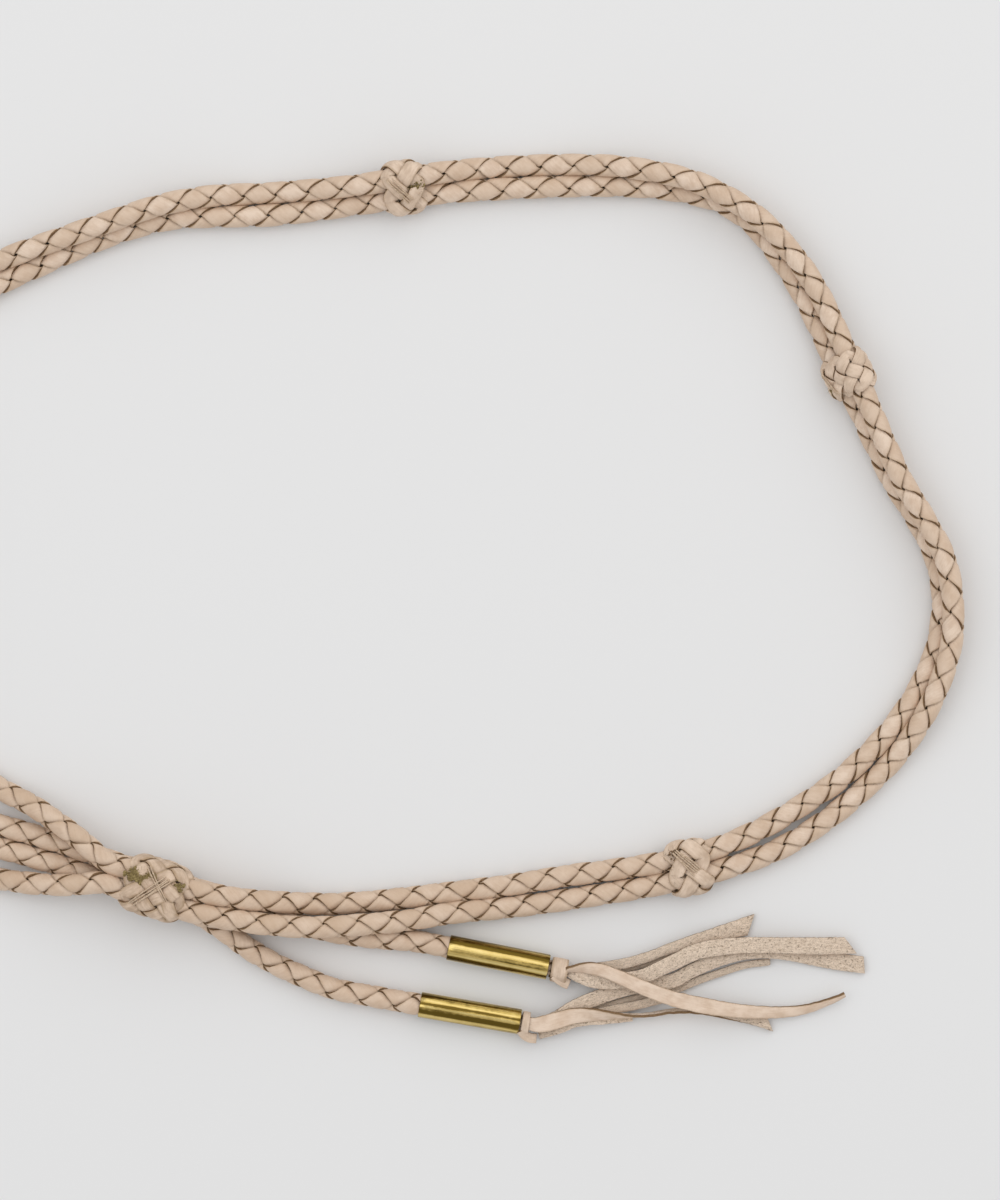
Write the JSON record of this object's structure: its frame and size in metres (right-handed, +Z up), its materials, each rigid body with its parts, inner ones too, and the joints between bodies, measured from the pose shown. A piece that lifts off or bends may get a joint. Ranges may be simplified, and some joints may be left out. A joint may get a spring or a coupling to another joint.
{
  "type": "braided leather cord belt",
  "caption": "Doubled round-braided leather cord belt laid in a loop, closed by a woven sliding knot, with woven keeper knots, brass tube ends and strand tassels.",
  "frame": {"origin": "middle of the laid belt's box, on the surface that it lies on", "axes": "+X along the belt's longest extent, towards the rounded end opposite the left-hand tails; +Y from the sliding knot's side to the far side of the loop; +Z up, away from the surface"},
  "size_m": [0.3699, 0.2197, 0.0151],
  "materials": {
    "braided_leather": "smooth pale pinkish beige lace, raw brown edges",
    "knot_lace": "narrow lace, woven, slightly waxed and worn",
    "smooth_strand": "smooth grain side",
    "loose_strand": "smooth on the grain side, rough suede on the flesh side",
    "waxed_thread": "waxed thread",
    "brass": "polished, lightly tarnished and scratched"
  },
  "bodies": {
    "belt": {"inner_cord": "braided_leather", "outer_cord": "braided_leather", "keeper_knot_1": "knot_lace", "keeper_knot_2": "knot_lace", "keeper_knot_3": "knot_lace", "keeper_knot_4": "knot_lace", "keeper_knot_5": "knot_lace", "keeper_stitch_1": "waxed_thread", "keeper_stitch_2": "waxed_thread", "keeper_stitch_3": "waxed_thread", "keeper_stitch_4": "waxed_thread", "keeper_stitch_5": "waxed_thread", "tie_right_inner": "smooth_strand", "tie_right_outer": "smooth_strand", "tie_left_inner": "smooth_strand", "tie_left_outer": "smooth_strand", "strand_right_inner_1": "loose_strand", "strand_right_inner_2": "loose_strand", "strand_right_inner_3": "loose_strand", "strand_right_inner_4": "loose_strand", "strand_right_outer_1": "loose_strand", "strand_right_outer_2": "loose_strand", "strand_right_outer_3": "loose_strand", "strand_right_outer_4": "loose_strand", "strand_left_inner_1": "loose_strand", "strand_left_inner_2": "loose_strand", "strand_left_inner_3": "loose_strand", "strand_left_inner_4": "loose_strand", "strand_left_outer_1": "loose_strand", "strand_left_outer_2": "loose_strand", "strand_left_outer_3": "loose_strand", "strand_left_outer_4": "loose_strand"},
    "slider": {"sliding_knot": "knot_lace", "sliding_knot_stitch": "waxed_thread"},
    "tube_right_inner": {"tube_right_inner": "brass"},
    "tube_right_outer": {"tube_right_outer": "brass"},
    "tube_left_inner": {"tube_left_inner": "brass"},
    "tube_left_outer": {"tube_left_outer": "brass"}
  },
  "joints": [
    {"name": "sliding_knot_slide", "type": "slide", "parent": "belt", "child": "slider", "axis": [0.9511, -0.309, 0], "range_m": [-0.002, 0.002]},
    {"name": "tube_right_inner_slide", "type": "slide", "parent": "belt", "child": "tube_right_inner", "axis": [-0.981, 0.1942, 0], "range_m": [0, 0.006]},
    {"name": "tube_right_outer_slide", "type": "slide", "parent": "belt", "child": "tube_right_outer", "axis": [-0.9854, 0.1702, 0], "range_m": [0, 0.01]},
    {"name": "tube_left_inner_slide", "type": "slide", "parent": "belt", "child": "tube_left_inner", "axis": [0.342, -0.9397, 0], "range_m": [0, 0.012]},
    {"name": "tube_left_outer_slide", "type": "slide", "parent": "belt", "child": "tube_left_outer", "axis": [0.9954, -0.0958, 0], "range_m": [0, 0.012]}
  ]
}
